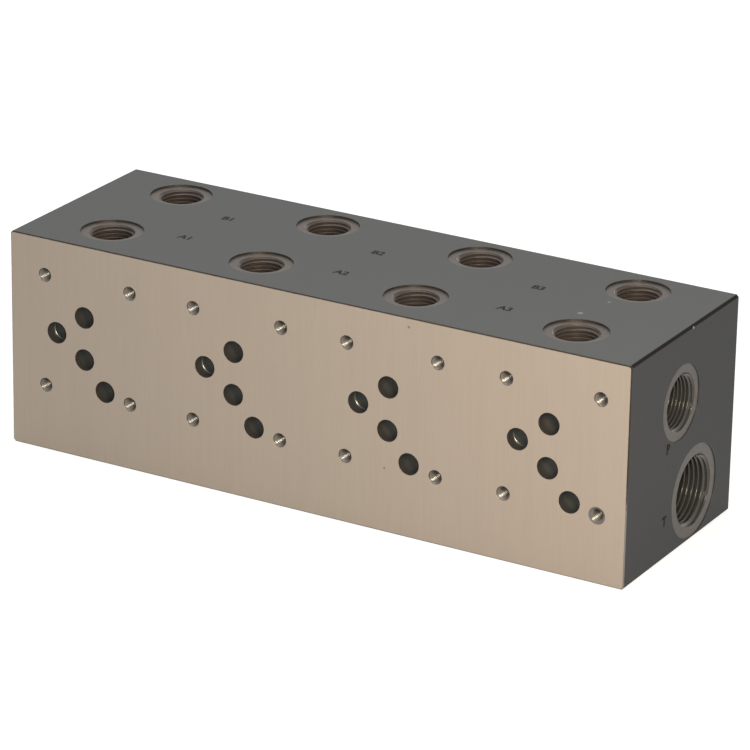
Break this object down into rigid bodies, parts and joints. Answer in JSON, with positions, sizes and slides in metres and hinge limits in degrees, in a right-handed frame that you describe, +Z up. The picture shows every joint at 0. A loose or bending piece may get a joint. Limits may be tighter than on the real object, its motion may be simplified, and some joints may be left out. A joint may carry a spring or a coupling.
{
  "type": "hydraulic manifold block",
  "caption": "Steel bar manifold block: upright valve stations along a ground face, spotfaced work ports on top, and pressure and tank galleries through its length.",
  "frame": {"origin": "centre of the underside", "axes": "+X along the bar, +Y from the valve face to the back, +Z up through the work ports"},
  "size_m": [0.319, 0.105, 0.104],
  "materials": {
    "block_steel": "ground bright on the valve face, dark phosphated on the other faces, bare in the spotfaces and bores"
  },
  "bodies": {
    "root": {"manifold_block": "block_steel"}
  },
  "joints": []
}
